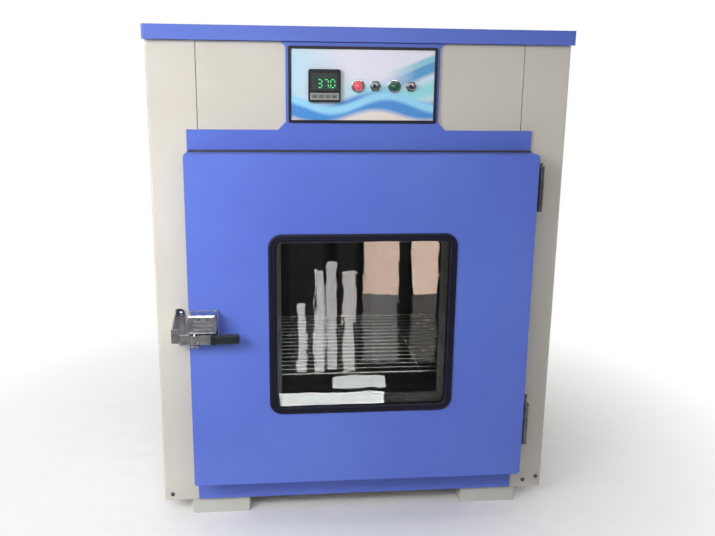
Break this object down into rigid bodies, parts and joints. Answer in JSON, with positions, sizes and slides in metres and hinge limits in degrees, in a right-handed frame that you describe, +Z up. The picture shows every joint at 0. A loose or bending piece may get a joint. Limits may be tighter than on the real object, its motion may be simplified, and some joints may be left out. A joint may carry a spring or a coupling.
{
  "type": "bacteriological incubator",
  "caption": "Free-standing lab incubator with a glazed hinged door, cam latch, stainless chamber with a wire shelf, and a control label above the door.",
  "frame": {"origin": "middle of the whole object's footprint, on the surface that the feet stand on", "axes": "+Z up, -Y towards the user, out of the door's face, +X to the user's right, the hinge side"},
  "size_m": [0.6532, 0.6968, 0.7891],
  "materials": {
    "blue_enamel": "satin enamel",
    "cream_enamel": "satin enamel",
    "stainless": "bright sheet",
    "bright_wire": "bright",
    "chrome_plate": "polished",
    "zinc_plate": "dull",
    "black_rubber": "satin",
    "grey_silicone": "matte",
    "black_plastic": "satin",
    "key_plastic": "matte",
    "display": "gloss",
    "printed_label": "satin",
    "red_lens": "gloss",
    "green_lens": "gloss",
    "window_glass": "clear",
    "mineral_wool": "matte"
  },
  "bodies": {
    "cabinet": {"left_side_panel": "cream_enamel", "right_side_panel": "cream_enamel", "back_panel": "cream_enamel", "bottom_panel": "cream_enamel", "top_cover": "blue_enamel", "fascia_panel": "cream_enamel", "door_frame": "blue_enamel", "front_left_foot": "cream_enamel", "front_right_foot": "cream_enamel", "rear_left_foot": "cream_enamel", "rear_right_foot": "cream_enamel", "cabinet_insulation": "mineral_wool", "chamber": "stainless", "front_left_upright": "stainless", "front_right_upright": "stainless", "rear_left_upright": "stainless", "rear_right_upright": "stainless", "left_shelf_rail": "stainless", "right_shelf_rail": "stainless", "floor_plate": "stainless", "heater_element": "zinc_plate", "temperature_probe": "stainless", "cord_gland": "black_plastic", "left_vent_body": "zinc_plate", "right_vent_body": "zinc_plate", "latch_keeper": "chrome_plate", "upper_hinge_frame_leaf": "zinc_plate", "lower_hinge_frame_leaf": "zinc_plate", "label_bezel": "black_plastic", "control_label": "printed_label", "temperature_controller": "black_plastic", "controller_display": "display", "red_lamp_bezel": "chrome_plate", "red_lamp_lens": "red_lens", "green_lamp_bezel": "chrome_plate", "green_lamp_lens": "green_lens", "left_toggle_body": "chrome_plate", "right_toggle_body": "chrome_plate"},
    "door": {"door_skin": "blue_enamel", "door_liner": "stainless", "door_insulation": "mineral_wool", "window_gasket": "black_rubber", "outer_glass": "window_glass", "window_reveal": "stainless", "inner_glass": "window_glass", "door_seal": "grey_silicone", "upper_hinge_door_leaf": "zinc_plate", "lower_hinge_door_leaf": "zinc_plate", "latch_base": "chrome_plate"},
    "latch": {"latch_lever": "chrome_plate", "latch_grip": "black_plastic"},
    "shelf": {"wire_shelf": "bright_wire"},
    "left_toggle": {"left_toggle_lever": "chrome_plate"},
    "right_toggle": {"right_toggle_lever": "chrome_plate"},
    "key_1": {"controller_key_1": "key_plastic"},
    "key_2": {"controller_key_2": "key_plastic"},
    "key_3": {"controller_key_3": "key_plastic"},
    "key_4": {"controller_key_4": "key_plastic"},
    "left_vent": {"left_vent_cover": "zinc_plate"},
    "right_vent": {"right_vent_cover": "zinc_plate"}
  },
  "joints": [
    {"name": "door_swing", "type": "hinge", "parent": "cabinet", "child": "door", "pos_m": [0.2731, -0.3124, 0.342], "axis": [0, 0, 1], "range_deg": [0, 115]},
    {"name": "latch_turn", "type": "hinge", "parent": "door", "child": "latch", "pos_m": [-0.256, -0.3414, 0.3308], "axis": [0, 0, -1], "range_deg": [0, 45]},
    {"name": "shelf_slide", "type": "slide", "parent": "cabinet", "child": "shelf", "axis": [0, -1, 0], "range_m": [-0.018, 0.03]},
    {"name": "left_toggle_tilt", "type": "hinge", "parent": "cabinet", "child": "left_toggle", "pos_m": [0.018, -0.28225, 0.7043], "axis": [1, 0, 0], "range_deg": [0, 24]},
    {"name": "right_toggle_tilt", "type": "hinge", "parent": "cabinet", "child": "right_toggle", "pos_m": [0.072, -0.28225, 0.7043], "axis": [1, 0, 0], "range_deg": [0, 24]},
    {"name": "key_1_travel", "type": "slide", "parent": "cabinet", "child": "key_1", "axis": [0, 1, 0], "range_m": [0, 0.0008], "stiffness_N_per_m": 300},
    {"name": "key_2_travel", "type": "slide", "parent": "cabinet", "child": "key_2", "axis": [0, 1, 0], "range_m": [0, 0.0008], "stiffness_N_per_m": 300},
    {"name": "key_3_travel", "type": "slide", "parent": "cabinet", "child": "key_3", "axis": [0, 1, 0], "range_m": [0, 0.0008], "stiffness_N_per_m": 300},
    {"name": "key_4_travel", "type": "slide", "parent": "cabinet", "child": "key_4", "axis": [0, 1, 0], "range_m": [0, 0.0008], "stiffness_N_per_m": 300},
    {"name": "left_vent_swing", "type": "hinge", "parent": "cabinet", "child": "left_vent", "pos_m": [-0.3228, -0.0724, 0.53405], "axis": [1, 0, 0], "range_deg": [-90, 90]},
    {"name": "right_vent_swing", "type": "hinge", "parent": "cabinet", "child": "right_vent", "pos_m": [0.3228, -0.0724, 0.53405], "axis": [1, 0, 0], "range_deg": [-90, 90]}
  ]
}
